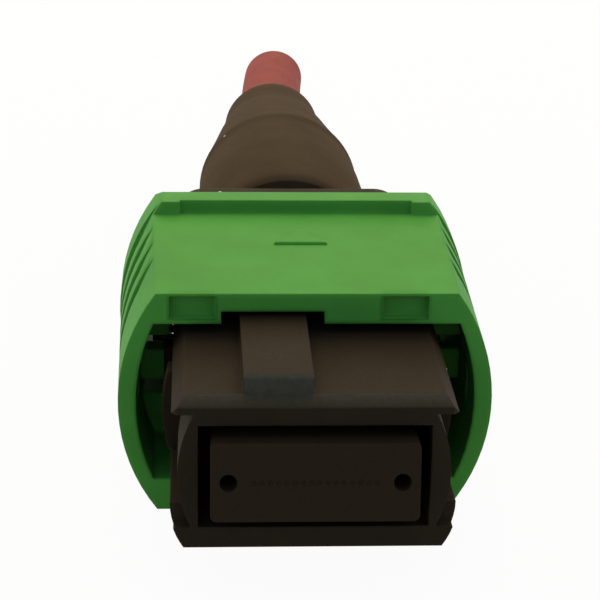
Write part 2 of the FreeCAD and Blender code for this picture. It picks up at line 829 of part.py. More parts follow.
    # ribs inside, which press on the coupling springs and meet the forward stops
    rib_root = "(bore_reach + rib_sink)"
    ribs = section_at(body, "rib_section", RIB_START)
    for side in (1, -1):
        edges = [f"{side} * ({rib_root} - rib_reach)", f"{side} * {rib_root}"]
        low = f"{CHANNEL_MIDDLE} - rib_high / 2"
        add_box(ribs, edges[side < 0], edges[side > 0], low, f"{CHANNEL_MIDDLE} + rib_high / 2")
    pad(body, ribs, "ribs", "rib_thick")
    return body


def build_spring_push():
    body = new_body("spring_push")
    block = section_at(body, "block_section", BLOCK_START)
    add_centred_box(block, "(window_wide - 2 * push_gap)", "(window_high - 2 * push_gap)")
    pad(body, block, "block", "push_block_long")
    flange = section_at(body, "push_flange_section", PUSH_FLANGE_START)
    add_round_box(flange, "push_flange_wide", "push_flange_high", "push_flange_round")
    pad(body, flange, "push_flange", "push_flange_long")
    stem = section_at(body, "stem_section", STEM_START)
    add_circle(stem, "0", "0", "stem_wide / 2")
    pad(body, stem, "stem", "stem_long")

    arms = section_at(body, "arm_section", f"{BLOCK_START} - arm_long")
    outer = "(window_wide / 2 - push_gap)"
    for side in (1, -1):
        edges = [f"{side} * ({outer} - arm_thick)", f"{side} * {outer}"]
        add_box(arms, edges[side < 0], edges[side > 0], "-arm_high / 2", "arm_high / 2")
    pad(body, arms, "arms", "arm_long + weld")
    hooks = section_at(body, "hook_section", f"{BLOCK_START} - arm_long")
    for side in (1, -1):
        edges = [f"{side} * ({outer} - weld)", f"{side} * ({outer} + hook_reach)"]
        add_box(hooks, edges[side < 0], edges[side > 0], "-arm_high / 2", "arm_high / 2")
    pad(body, hooks, "hooks", "hook_long")

    slot = section_at(body, "push_slot_section", BLOCK_START)
    add_centred_box(slot, "push_slot_wide", "push_slot_high")
    pocket(body, slot, "slot", "push_block_long + push_flange_long")
    bore = section_at(body, "stem_bore_section", BLOCK_START)
    add_circle(bore, "0", "0", "stem_bore / 2")
    pocket(body, bore, "stem_bore", "push_block_long + push_flange_long + 2 * stem_long")
    return body


def build_turned(label, corners):
    """A round piece about the plug's axis, from its half section: radius, distance along."""
    body = new_body(label)
    section = new_sketch(body, f"{label}_section", "XY_Plane")
    add_outline(section, corners)
    revolve(body, section, f"{label}_turned")
    return body


def build_crimp_ring():
    front_end = f"({CRIMP_START} + crimp_front_long)"
    cone_end = f"({CRIMP_START} + crimp_front_long + crimp_cone_long)"
    rear_end = f"({CRIMP_START} + crimp_front_long + crimp_cone_long + crimp_rear_long)"
    return build_turned(
        "crimp_ring",
        [
            (CRIMP_FRONT_BORE, CRIMP_START),
            (f"{CRIMP_FRONT_BORE} + crimp_wall", CRIMP_START),
            (f"{CRIMP_FRONT_BORE} + crimp_wall", front_end),
            (f"{CRIMP_REAR_BORE} + crimp_wall", cone_end),
            (f"{CRIMP_REAR_BORE} + crimp_wall", rear_end),
            (CRIMP_REAR_BORE, rear_end),
            (CRIMP_REAR_BORE, cone_end),
            (CRIMP_FRONT_BORE, front_end),
        ],
    )


def build_jacket():
    return build_turned(
        "cable_jacket",
        [
            ("jacket_bore / 2", JACKET_START),
            ("jacket_wide / 2", JACKET_START),
            ("jacket_wide / 2", CABLE_END),
            ("jacket_bore / 2", CABLE_END),
        ],
    )


def build_yarn():
    """Strength yarn: a layer inside the jacket, spread forward over the stem under the crimp."""
    inner = "(yarn_core / 2)"
    outer = "(jacket_bore / 2 - crimp_gap)"
    stem_skin = "(stem_wide / 2 + crimp_gap)"
    return build_turned(
        "aramid_yarn",
        [
            (inner, CABLE_END),
            (inner, JACKET_START),
            (stem_skin, f"{STEM_END} + yarn_end_gap"),
            (stem_skin, f"{STEM_START} + yarn_setback"),
            (YARN_OUTER, f"{STEM_START} + yarn_setback"),
            (YARN_OUTER, f"{STEM_END} + yarn_end_gap"),
            (outer, f"{JACKET_START} - jacket_gap"),
            (outer, CABLE_END),
        ],
    )


def build_boot():
    crimp_front_end = f"({CRIMP_START} + crimp_front_long + boot_gap)"
    crimp_cone_end = f"({CRIMP_START} + crimp_front_long + crimp_cone_long + boot_gap)"
    crimp_end = f"({CRIMP_START} + crimp_front_long + crimp_cone_long + crimp_rear_long + boot_seat_gap)"
    wide_bore = f"({CRIMP_FRONT_BORE} + crimp_wall + boot_gap)"
    narrow_bore = f"({CRIMP_REAR_BORE} + crimp_wall + boot_gap)"
    cable_bore = "(jacket_wide / 2 + boot_gap)"
    end_x = "(boot_end_wide / 2 - boot_end_round)"
    end_y = f"({BOOT_END} - boot_end_round)"
    return build_turned(
        "boot",
        [
            (wide_bore, BOOT_START),
            ("boot_mouth_wide / 2", BOOT_START),
            ("boot_mouth_wide / 2 + boot_mouth_flare", f"{BOOT_START} + boot_mouth_round"),
            ("boot_wide / 2", BOOT_RING),
            ("boot_wide / 2 - boot_ring_step", f"{BOOT_RING} + boot_ring_step"),
            ("boot_end_wide / 2", end_y),
            (f"{end_x} + boot_end_round * cos(45)", f"{end_y} + boot_end_round * sin(45)"),
            (end_x, BOOT_END),
            (cable_bore, BOOT_END),
            (cable_bore, crimp_end),
            (narrow_bore, crimp_end),
            (narrow_bore, crimp_cone_end),
            (wide_bore, crimp_front_end),
        ],
    )


def add_shape(label, shape):
    feature = doc.addObject("Part::Feature", label)
    feature.Label = label
    feature.Shape = shape
    feature.Placement = FreeCAD.Placement()
    return feature


def sweep(points, radius, flats):
    """A wire of so many flats along straight runs between the points, mitred where they meet."""
    along = (points[1] - points[0]).normalize()
    side = along.cross(FreeCAD.Vector(0, 0, 1)).normalize()
    up = side.cross(along)
    corners = []
    for k in range(flats + 1):
        angle = 2 * math.pi * (k + 0.5) / flats
        corners.append(points[0] + side * (radius * math.cos(angle)) + up * (radius * math.sin(angle)))
    section = Part.makePolygon(corners)
    return Part.makePolygon(points).makePipeShell([section], True, False, 1)


def build_fibre(i):
    """Bare glass in the ferrule, then the coated fibre, which leaves the row for the bundle."""
    row_x = (i - (FIBRES - 1) / 2) * number("fibre_pitch")
    column, layer = divmod(i, BUNDLE_SIDE)
    middle = (BUNDLE_SIDE - 1) / 2
    bundle_x = (column - middle) * number("bundle_pitch")
    bundle_z = (layer - middle) * number("bundle_pitch")
    glass_end = FreeCAD.Vector(row_x, number("glass_long"), 0)
    fan_start = number("fan_start")
    points = [
        glass_end,
        FreeCAD.Vector(row_x, fan_start, 0),
        FreeCAD.Vector(bundle_x, fan_start + number("fan_long"), bundle_z),
        FreeCAD.Vector(bundle_x, number(CABLE_END), bundle_z),
    ]
    glass_tip = FreeCAD.Vector(row_x, 0, 0)
    glass = sweep([glass_tip, glass_end], number("glass_wide / 2"), FLATS_PER_FIBRE)
    coated = sweep(points, number("coat_wide / 2"), FLATS_PER_FIBRE)
    return add_shape(fibre_name(i + 1), coated.fuse(glass).removeSplitter())


def coil_points(half_run, radius, turns, start, end, centre):
    """Corners of a coil about the plug's direction, with straight runs half_run long each way."""
    points = []
    per_turn = 2 * (FLATS_PER_HALF_TURN + 1)
    steps = turns * per_turn
    for step in range(steps + 1):
        half_turn, flat = divmod(step, FLATS_PER_HALF_TURN + 1)
        side = 1 if half_turn % 2 == 0 else -1
        angle = math.pi * (half_turn + flat / FLATS_PER_HALF_TURN) - math.pi / 2
        points.append(
            centre
            + FreeCAD.Vector(
                side * half_run + radius * math.cos(angle),
                start + (end - start) * step / steps,
                radius * math.sin(angle),
            )
        )
    return points


def build_main_spring():
    wire = number("main_wire")
    radius = (number("main_coil_high") - wire) / 2
    half_run = number("main_coil_wide") / 2 - wire / 2 - radius
    start = number(f"{KEEPER_END} + main_wire / 2 + spring_gap")
    end = number(f"{BLOCK_START} - main_wire / 2 - spring_gap")
    points = coil_points(half_run, radius, MAIN_TURNS, start, end, FreeCAD.Vector())
    return add_shape("main_spring", sweep(points, wire / 2, FLATS_PER_WIRE))


def build_coupling_spring(side, name):
    wire = number("coupling_wire")
    radius = (number("coupling_coil") - wire) / 2
    centre_x = number("channel_floor / 2 + coupling_gap + coupling_coil / 2")
    centre = FreeCAD.Vector(side * centre_x, 0, number(CHANNEL_MIDDLE))
    start = number(f"{RIB_END} + coupling_wire / 2 + spring_gap")
    end = number(f"{REAR_STOP} - coupling_wire / 2 - spring_gap")
    points = coil_points(0, radius, COUPLING_TURNS, start, end, centre)
    return add_shape(name, sweep(points, wire / 2, FLATS_PER_WIRE))


parts = [
    build_ferrule(),
    build_pin_keeper(),
    build_tail(),
    build_inner_housing(),
    build_sleeve(),
    build_spring_push(),
    build_crimp_ring(),
    build_jacket(),
    build_yarn(),
    build_boot(),
    build_main_spring(),
    build_coupling_spring(-1, "coupling_spring_left"),
    build_coupling_spring(1, "coupling_spring_right"),
]
parts += [build_fibre(i) for i in range(FIBRES)]
doc.recompute()

for obj in doc.Objects:
    if {"Invalid", "Error"} & set(obj.State):
        raise RuntimeError(f"{obj.Label} did not build: {obj.State}")
os.makedirs("parts", exist_ok=True)
for part in parts:
    shape = part.Shape
    if shape.isNull() or not shape.isValid() or len(shape.Solids) != 1:
        raise RuntimeError(f"{part.Label} is not one valid solid")
for part in parts:
    part.Shape.exportStep(f"parts/{part.Label}.step")
    print(part.Label, round(part.Shape.Volume, 3), "mm3")
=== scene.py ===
"""Dresses the packed fibre plug: finishes, soft edges, springs, fibres, arrow and studio."""

import json
import math

import bmesh
import bpy
from bpy.props import FloatProperty, FloatVectorProperty, IntProperty, PointerProperty
from mathutils import Color, Matrix, Vector


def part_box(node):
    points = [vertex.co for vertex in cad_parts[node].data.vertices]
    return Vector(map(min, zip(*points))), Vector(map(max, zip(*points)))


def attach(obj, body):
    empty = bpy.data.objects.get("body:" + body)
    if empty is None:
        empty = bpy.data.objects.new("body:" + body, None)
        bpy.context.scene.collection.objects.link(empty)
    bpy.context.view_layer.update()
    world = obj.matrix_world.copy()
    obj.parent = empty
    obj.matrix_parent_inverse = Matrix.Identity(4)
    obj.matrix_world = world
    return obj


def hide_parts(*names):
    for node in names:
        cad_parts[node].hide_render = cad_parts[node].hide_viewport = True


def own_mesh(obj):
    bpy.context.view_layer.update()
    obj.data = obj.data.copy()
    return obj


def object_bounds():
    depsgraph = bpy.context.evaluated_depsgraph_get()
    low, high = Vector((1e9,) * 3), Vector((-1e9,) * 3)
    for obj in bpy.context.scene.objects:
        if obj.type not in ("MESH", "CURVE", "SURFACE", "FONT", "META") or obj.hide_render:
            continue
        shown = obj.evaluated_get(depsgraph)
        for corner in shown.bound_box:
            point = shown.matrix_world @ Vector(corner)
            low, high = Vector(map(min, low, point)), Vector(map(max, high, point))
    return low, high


bl_info = {
    "name": "Fibre plug dresser",
    "version": (1, 0, 0),
    "blender": (4, 5, 0),
    "location": "3D View > Sidebar > Fibre Plug",
    "description": "Gives the packed fibre plug its finishes, springs, fibres, arrow and studio",
    "category": "Object",
}

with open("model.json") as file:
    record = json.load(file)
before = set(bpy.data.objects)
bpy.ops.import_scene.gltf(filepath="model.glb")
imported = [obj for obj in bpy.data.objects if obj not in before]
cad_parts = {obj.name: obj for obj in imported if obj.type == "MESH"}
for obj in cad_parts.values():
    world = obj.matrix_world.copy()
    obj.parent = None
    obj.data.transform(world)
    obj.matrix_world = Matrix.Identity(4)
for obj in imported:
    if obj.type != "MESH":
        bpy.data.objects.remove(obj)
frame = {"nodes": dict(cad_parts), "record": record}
CAD_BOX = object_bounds()
NODES = frame["nodes"]
FIBRES = sorted(name for name in NODES if name.startswith("fibre_"))
SLOTS = {part["node"]: part["material_slot"] for part in frame["record"]["subparts"]}
MM = 0.001
SLEEVE_LOW, SLEEVE_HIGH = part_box("outer_housing")
LIP_HIGH = 0.46 * MM  # how far the rear lip stands above the top of the sleeve
SLEEVE_TOP = SLEEVE_HIGH.z - LIP_HIGH
CABLE_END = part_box("cable_jacket")[1].y

# shapes
WIRE_SIDES, STRAND_SIDES, ROUND_SIDES = 12, 10, 64  # flats round a wire, a fibre and the boot
COIL_STEPS = 40  # points along one turn of a spring
COIL_CROSSING = 3.0  # how fast an oval turn crosses from side to side: more is faster
FAN_STEPS = 14  # from the row of fibres to the bundle, and again from there to the cut end
COAT_STEP = 0.01 * MM  # over which a fibre grows from bare glass to its coat
BEND_POWER = 3.2  # how late boot and cable bend: 1 is an even slant
RING_STEP = 1.0 * MM  # the longest way between two rings of a turned piece
WELD = 0.0002 * MM  # points nearer than this are one point
FIT = 0.04 * MM  # room between the boot and what it holds

# finishes
CLOUD = (0.3, 0.7)  # most values of a cloud lie between these
WARM_GLOSS = (1.0, 0.86, 0.62, 1.0)  # tint of the gloss on plastic and rubber
PAINTED_REFLECTION = (0.05, 0.047, 0.038, 1.0)  # pale tone painted on the black plastic's high front faces as their reflection
LINT_ON_PLASTIC = (0.45, 0.42, 0.38, 1.0)
LINT_ON_RUBBER = (0.4, 0.37, 0.33, 1.0)
SPRING_STEEL = (0.56, 0.56, 0.54)
CRIMP_METAL = (0.82, 0.81, 0.79)

# studio
SKY_COLOUR = (0.84, 1.03, 1.18, 1.0)
WHITE = (1.0, 1.0, 1.0, 1.0)
FLOOR_GREY = (0.62, 0.62, 0.62, 1.0)
FLOOR_WHITE_SHARE = 0.95  # the rest of the floor shows the plug's shadow
FLOOR_REACH = 1.2
FLOOR_GAP = 0.01 * MM
LAMP_AIM = Vector((0.0, 0.01, 0.0))
KEY_PLACE, KEY_SIZE, KEY_COLOUR = Vector((-0.01, 0.115, 0.12)), 0.20, (1.0, 0.76, 0.45)
SIDE_PLACE, SIDE_SIZE, SIDE_COLOUR = (0.16, 0.03, 0.06), 0.08, (1.0, 0.8, 0.5)
SENSOR_WIDE = 36.0  # millimetres, as the lens


# ---- property groups ----


def length_property(name, description, default):
    """A length in metres."""
    return FloatProperty(
        name=name, description=description, default=default, subtype="DISTANCE", unit="LENGTH"
    )


def colour_property(name, description, default):
    """A colour as a display shows it."""
    return FloatVectorProperty(
        name=name,
        description=description,
        default=default,
        size=3,
        min=0.0,
        max=1.0,
        subtype="COLOR_GAMMA",
    )


class PlugColours(bpy.types.PropertyGroup):
    green: colour_property("Green", "Plastic of the coupling sleeve", (0.278, 0.545, 0.228))
    black: colour_property("Black", "Plastic of the inner housing", (0.15, 0.125, 0.098))
    resin: colour_property("Resin", "Filled resin of the ferrule", (0.155, 0.12, 0.092))
    rubber: colour_property("Rubber", "Rubber of the boot", (0.223, 0.179, 0.13))
    sheath: colour_property("Sheath", "Sheath of the cable", (0.505, 0.242, 0.227))
    yarn: colour_property("Yarn", "Strength yarn", (0.90, 0.76, 0.36))
    glass: colour_property("Glass", "Polished end of a fibre", (0.118, 0.096, 0.078))


class PlugSprings(bpy.types.PropertyGroup):
    main_wire: length_property("Main wire", "Wire of the ferrule's spring", 0.36 * MM)
    main_turns: IntProperty(
        name="Main turns", description="Turns of the ferrule's spring", default=7, min=3
    )
    coupling_wire: length_property("Coupling wire", "Wire of the sleeve's springs", 0.18 * MM)
    coupling_turns: IntProperty(
        name="Coupling turns", description="Turns of each of the sleeve's springs", default=8, min=3
    )
    closed_turns: FloatProperty(
        name="Closed turns", description="Closely wound turns at each end", default=0.9, min=0.0
    )


class PlugFibres(bpy.types.PropertyGroup):
    pitch: length_property("Pitch", "Distance between fibres in the ferrule", 0.25 * MM)
    glass_wide: length_property("Glass", "Diameter of the bare glass", 0.125 * MM)
    coat_wide: length_property("Coating", "Diameter of the coated fibre", 0.2 * MM)
    coat_start: length_property("Coat start", "Where the coating starts", 5.0 * MM)
    fan_start: length_property("Fan start", "Where the fibres leave the row", 9.6 * MM)
    fan_end: length_property("Fan end", "Where the fibres reach the bundle", 19.2 * MM)
    bundle_pitch: length_property("Bundle pitch", "Distance in the bundle", 0.34 * MM)
    bundle_side: IntProperty(
        name="Bundle side", description="Fibres along one side of the bundle", default=4, min=1
    )


class PlugArrow(bpy.types.PropertyGroup):
    wide: length_property("Width", "Width of the arrow's base", 1.94 * MM)
    long: length_property("Length", "Length of the arrow", 1.58 * MM)
    rise: length_property("Rise", "How far the arrow stands up", 0.09 * MM)
    start: length_property("Start", "From the sleeve's front edge to the arrow", 4.72 * MM)


class PlugInsets(bpy.types.PropertyGroup):
    wide: length_property("Width", "Width of an inset in the sleeve's front rim", 1.48 * MM)
    high: length_property("Height", "Height of an inset", 0.75 * MM)
    roof: length_property("Roof", "From the top of the sleeve to an inset", 0.08 * MM)
    distance: length_property("Distance", "From the middle of one inset to the other", 6.94 * MM)
    offset: length_property("Offset", "How far both insets lie to the left", 0.28 * MM)
    border: length_property("Border", "Width of the bead round an inset", 0.06 * MM)
    rise: length_property("Rise", "How far the bead stands out of the rim", 0.03 * MM)


class PlugCable(bpy.types.PropertyGroup):
    mouth_wide: length_property("Mouth", "Diameter of the boot at its mouth", 6.5 * MM)
    barrel_wide: length_property("Barrel", "Diameter of the boot at its widest", 7.18 * MM)
    seam_wide: length_property("Seam", "Diameter of the boot at the seam bead", 6.86 * MM)
    seam_start: length_property("Seam place", "From the boot's mouth to its seam bead", 8.7 * MM)
    seam_rise: length_property("Seam rise", "How far the bead stands out", 0.03 * MM)
    end_wide: length_property("Rear end", "Diameter of the boot at its rear end", 4.5 * MM)
    cable_wide: length_property("Cable", "Diameter of the cable", 3.0 * MM)
    cable_bore: length_property("Bore", "Diameter of the sheath's bore", 2.0 * MM)
    yarn_wide: length_property("Yarn", "Diameter of the layer of yarn in the sheath", 1.94 * MM)
    yarn_bore: length_property("Yarn bore", "Diameter inside the layer of yarn", 1.68 * MM)
    stem_wide: length_property("Stem", "Diameter of the yarn's bore over the stem", 3.46 * MM)
    stem_end: length_property("Stem end", "Where the stem under the yarn ends", 23.57 * MM)
    bend_start: length_property("Bend start", "Where the cable starts to bend", 29.0 * MM)
    bend: length_property("Bend", "How far the cable's end lies to the side", 0.5 * MM)


class PlugStudio(bpy.types.PropertyGroup):
    camera_place: FloatVectorProperty(
        name="Camera place",
        description="Where the camera stands",
        default=(-3.64 * MM, -51.95 * MM, 26.39 * MM),
        size=3,
        subtype="TRANSLATION",
        unit="LENGTH",
    )
    lens: FloatProperty(name="Lens", description="Focal length in millimetres", default=115.1)
    turn: FloatProperty(
        name="Turn",
        description="Turn of the view to the right",
        default=math.radians(3.35),
        subtype="ANGLE",
        unit="ROTATION",
    )
    tilt: FloatProperty(
        name="Tilt",
        description="Tilt of the view below the horizon",
        default=math.radians(21.43),
        subtype="ANGLE",
        unit="ROTATION",
    )
    roll: FloatProperty(
        name="Roll",
        description="Roll of the camera",
        default=math.radians(1.2),
        subtype="ANGLE",
        unit="ROTATION",
    )
    sky: FloatProperty(name="Sky", description="Strength of the even light", default=0.6, min=0.0)
    key: FloatProperty(name="Key", description="Watts of the lamp overhead", default=0.3, min=0.0)
    side: FloatProperty(name="Side", description="Watts of each side lamp", default=0.1, min=0.0)


# ---- nodes of a finish ----


def display(colour):
    """The shader's colour, with alpha, of a colour given as a display shows it."""
    return (*Color(colour).from_srgb_to_scene_linear(), 1.0)


def shade(colour, times, plus=0.0):
    """A shader's colour made paler or deeper."""
    return tuple(min(1.0, times * c + plus) for c in colour[:3]) + (1.0,)


def add_node(tree, kind, inputs, **settings):
    """A node with its settings and inputs; an input is a value or another node's output."""
    node = tree.nodes.new(kind)
    for key, value in settings.items():
        setattr(node, key, value)
    for key, value in inputs.items():
        if isinstance(value, bpy.types.NodeSocket):
            tree.links.new(value, node.inputs[key])
        else:
            node.inputs[key].default_value = value
    return node


def start_finish(name, colour, roughness):
    """A new material with one main shader, and the surface's own coordinates."""
    material = bpy.data.materials.new(name)
    material.use_nodes = True
    tree = material.node_tree
    tree.nodes.clear()
    shader = add_node(
        tree, "ShaderNodeBsdfPrincipled", {"Base Color": display(colour), "Roughness": roughness}
    )
    output = add_node(tree, "ShaderNodeOutputMaterial", {"Surface": shader.outputs["BSDF"]})
    output.is_active_output = True
    material.diffuse_color = display(colour)
    place = add_node(tree, "ShaderNodeTexCoord", {}).outputs["Object"]
    return material, tree, shader, place


def set_gloss(shader, level):
    shader.inputs["Specular IOR Level"].default_value = level
    shader.inputs["Specular Tint"].default_value = WARM_GLOSS


def cloud(tree, place, size, detail=3.0):
    """Soft cloudy values from 0 to 1, with clouds about size metres wide."""
    node = add_node(
        tree,
        "ShaderNodeTexNoise",
        {"Vector": place, "Scale": 1.0 / size, "Detail": detail, "Roughness": 0.55},
    )
    return node.outputs["Fac"]


def spread(tree, value, low, high, to_low, to_high):
    """Maps values between low and high to values between to_low and to_high."""
    node = add_node(
        tree,
        "ShaderNodeMapRange",
        {
            "Value": value,
            "From Min": low,
            "From Max": high,
            "To Min": to_low,
            "To Max": to_high,
        },
    )
    return node.outputs["Result"]


def blend_colours(tree, share, first, second):
    """The first colour where share is 0 and the second where it is 1."""
    node = tree.nodes.new("ShaderNodeMix")
    node.data_type = "RGBA"
    for index, value in ((0, share), (6, first), (7, second)):
        if isinstance(value, bpy.types.NodeSocket):
            tree.links.new(value, node.inputs[index])
        else:
            node.inputs[index].default_value = value
    return node.outputs[2]


def calculate(tree, operation, first, second):
    node = tree.nodes.new("ShaderNodeMath")
    node.operation = operation
    for index, value in enumerate((first, second)):
        if isinstance(value, bpy.types.NodeSocket):
            tree.links.new(value, node.inputs[index])
        else:
            node.inputs[index].default_value = value
    return node.outputs[0]


def edges(tree, radius):
    """1 on edges and corners and 0 on flat faces."""
    rounded = add_node(tree, "ShaderNodeBevel", {"Radius": radius}, samples=6)
    true = add_node(tree, "ShaderNodeNewGeometry", {})
    likeness = add_node(
        tree,
        "ShaderNodeVectorMath",
        {0: rounded.outputs["Normal"], 1: true.outputs["Normal"]},
        operation="DOT_PRODUCT",
    )
    on_flat, on_edge = 0.998, 0.9
    return spread(tree, likeness.outputs["Value"], on_flat, on_edge, 0.0, 1.0)


def emboss(tree, shader, height, depth, edge_radius=0.0):
    """Raises and lowers the surface by height, up to depth metres, and turns its edges round."""
    inputs = {"Height": height, "Distance": depth, "Strength": 1.0}
    if edge_radius:
        rounded = add_node(tree, "ShaderNodeBevel", {"Radius": edge_radius}, samples=8)
        inputs["Normal"] = rounded.outputs["Normal"]
    bump = add_node(tree, "ShaderNodeBump", inputs)
    tree.links.new(bump.outputs["Normal"], shader.inputs["Normal"])


def seen_rays(tree):
    """1 for the rays that show the background: from the camera, in glass and in gloss."""
    ray = add_node(tree, "ShaderNodeLightPath", {}).outputs
    seen = calculate(tree, "MAXIMUM", ray["Is Camera Ray"], ray["Is Transmission Ray"])
    return calculate(tree, "MAXIMUM", seen, ray["Is Glossy Ray"])


def specks(tree, place, pitch, share):
    """1 on rare fine specks of dust and 0 elsewhere."""
    cells = add_node(
        tree, "ShaderNodeTexVoronoi", {"Vector": place, "Scale": 1.0 / pitch, "Randomness": 1.0}
    )
    core, rim = 0.05, 0.09
    near = spread(tree, cells.outputs["Distance"], core, rim, 1.0, 0.0)
    lot = add_node(tree, "ShaderNodeSeparateColor", {"Color": cells.outputs["Color"]})
    chosen = calculate(tree, "LESS_THAN", lot.outputs[0], share)
    return calculate(tree, "MULTIPLY", near, chosen)


def painted_reflection_mask(tree, place, low, high):
    """Mask of a painted reflection: 0 on most faces; on those that look forward it grows from
    height low to 1 at high.
    """
    normal = add_node(tree, "ShaderNodeNewGeometry", {}).outputs["True Normal"]
    ahead = add_node(tree, "ShaderNodeSeparateXYZ", {"Vector": normal}).outputs["Y"]
    up = add_node(tree, "ShaderNodeSeparateXYZ", {"Vector": place}).outputs["Z"]
    facing = calculate(tree, "LESS_THAN", ahead, -0.3)
    above = calculate(tree, "GREATER_THAN", up, low)
    grown = calculate(tree, "MULTIPLY", above, spread(tree, up, low, high, 0.12, 1.0))
    grains = spread(tree, cloud(tree, place, 0.16 * MM), *CLOUD, 0.7, 1.0)
    return calculate(tree, "MULTIPLY", calculate(tree, "MULTIPLY", facing, grown), grains)


def moulded_plastic(name, colour, roughness, edge_wear_and_highlight, edge_radius, specular, dust=0.0, painted_reflection_heights=None):
    """Moulded plastic: a fine grain, cloudy gloss, edges paled as rubbed wear and painted
    highlight, and a little dust.

    Its faces that look forward turn pale from the first given height to the second, as a painted
    reflection."""
    material, tree, shader, place = start_finish(name, colour, roughness)
    set_gloss(shader, specular)
    base = display(colour)
    pale = shade(base, 1.35, 0.012)
    deep = shade(base, 0.86)
    clouds = spread(tree, cloud(tree, place, 2.4 * MM), *CLOUD, 0.0, 1.0)
    tint = blend_colours(tree, clouds, deep, base)
    # edges paled in patches: partly rubbed wear, partly a painted highlight
    wear_and_highlight = calculate(tree, "MULTIPLY", edges(tree, 0.09 * MM), cloud(tree, place, 0.8 * MM))
    tint = blend_colours(tree, calculate(tree, "MULTIPLY", wear_and_highlight, edge_wear_and_highlight), tint, pale)
    # painted reflection: faces that look forward high up turn pale in mottled grains
    if painted_reflection_heights:
        tint = blend_colours(tree, painted_reflection_mask(tree, place, *painted_reflection_heights), tint, PAINTED_REFLECTION)
    if dust:
        lint = specks(tree, place, 0.9 * MM, dust)
        tint = blend_colours(tree, lint, tint, LINT_ON_PLASTIC)
    tree.links.new(tint, shader.inputs["Base Color"])
    grain = cloud(tree, place, 0.07 * MM, 2.0)
    gloss = spread(tree, grain, *CLOUD, roughness - 0.06, roughness + 0.06)
    tree.links.new(gloss, shader.inputs["Roughness"])
    emboss(tree, shader, grain, 0.003 * MM, edge_radius)
    return material


def polished_resin(name, colour):
    """Glass-filled resin: dark, finely speckled and ground smooth on the face."""
    material, tree, shader, place = start_finish(name, colour, 0.36)
    set_gloss(shader, 0.03)
    base = display(colour)
    pale = shade(base, 1.3, 0.002)
    filler = spread(tree, cloud(tree, place, 0.05 * MM, 1.0), 0.5, 0.72, 0.0, 0.5)
    tint = blend_colours(tree, filler, base, pale)
    # edges paled: partly rubbed wear, partly a painted highlight
    wear_and_highlight = calculate(tree, "MULTIPLY", edges(tree, 0.05 * MM), 0.5)
    tint = blend_colours(tree, wear_and_highlight, tint, pale)
    tree.links.new(tint, shader.inputs["Base Color"])
    scratches = add_node(
        tree,
        "ShaderNodeTexNoise",
        {
            "Vector": add_node(
                tree, "ShaderNodeMapping", {"Vector": place, "Scale": (1.0, 1.0, 14.0)}
            ).outputs["Vector"],
            "Scale": 1.0 / (0.5 * MM),
            "Detail": 4.0,
        },
    ).outputs["Fac"]
    gloss = spread(tree, scratches, *CLOUD, 0.3, 0.42)
    tree.links.new(gloss, shader.inputs["Roughness"])
    emboss(tree, shader, scratches, 0.0012 * MM)
    return material


def matt_rubber(name, colour):
    """Rubber of the boot: matt, faintly cloudy, with a soft sheen along its edges."""
    material, tree, shader, place = start_finish(name, colour, 0.62)
    set_gloss(shader, 0.005)
    base = display(colour)
    pale = shade(base, 1.4, 0.01)
    clouds = spread(tree, cloud(tree, place, 1.6 * MM, 5.0), 0.3, 0.75, 0.0, 0.35)
    tint = blend_colours(tree, clouds, base, pale)
    lint = specks(tree, place, 0.8 * MM, 0.05)
    tint = blend_colours(tree, lint, tint, LINT_ON_RUBBER)
    tree.links.new(tint, shader.inputs["Base Color"])
    grain = cloud(tree, place, 0.09 * MM, 3.0)
    tree.links.new(spread(tree, grain, *CLOUD, 0.55, 0.7), shader.inputs["Roughness"])
    shader.inputs["Sheen Weight"].default_value = 0.02
    shader.inputs["Sheen Tint"].default_value = WARM_GLOSS
    emboss(tree, shader, grain, 0.006 * MM, 0.08 * MM)
    return material


def cable_sheath(name, colour):
    """Extruded sheath: matt, with faint draw lines along the cable."""
    material, tree, shader, place = start_finish(name, colour, 0.55)
    set_gloss(shader, 0.03)
    base = display(colour)
    deep = shade(base, 0.82)
    lengthwise = add_node(
        tree, "ShaderNodeMapping", {"Vector": place, "Scale": (1.0, 0.06, 1.0)}
    ).outputs["Vector"]
    lines = cloud(tree, lengthwise, 0.22 * MM, 3.0)
    clouds = cloud(tree, place, 1.2 * MM)
    share = spread(tree, calculate(tree, "MULTIPLY", lines, clouds), 0.15, 0.35, 1.0, 0.0)
    tint = blend_colours(tree, share, base, deep)
    tree.links.new(tint, shader.inputs["Base Color"])
    tree.links.new(spread(tree, lines, *CLOUD, 0.5, 0.64), shader.inputs["Roughness"])
    emboss(tree, shader, lines, 0.006 * MM)
    return material


def drawn_metal(name, colour, roughness, lines_along):
    """Drawn metal with fine lines along the given direction."""
    material, tree, shader, place = start_finish(name, colour, roughness)
    squeeze = tuple(0.04 if along else 1.0 for along in lines_along)
    mapped = add_node(
        tree, "ShaderNodeMapping", {"Vector": place, "Scale": squeeze}
    ).outputs["Vector"]
    lines = cloud(tree, mapped, 0.05 * MM, 3.0)
    tree.links.new(
        spread(tree, lines, *CLOUD, roughness - 0.08, roughness + 0.1),
        shader.inputs["Roughness"],
    )
    base = display(colour)
    deep = shade(base, 0.75)
    stain = spread(tree, cloud(tree, place, 0.9 * MM), 0.35, 0.7, 0.0, 0.6)
    tree.links.new(blend_colours(tree, stain, base, deep), shader.inputs["Base Color"])
    shader.inputs["Metallic"].default_value = 1.0
    emboss(tree, shader, lines, 0.001 * MM)
    return material


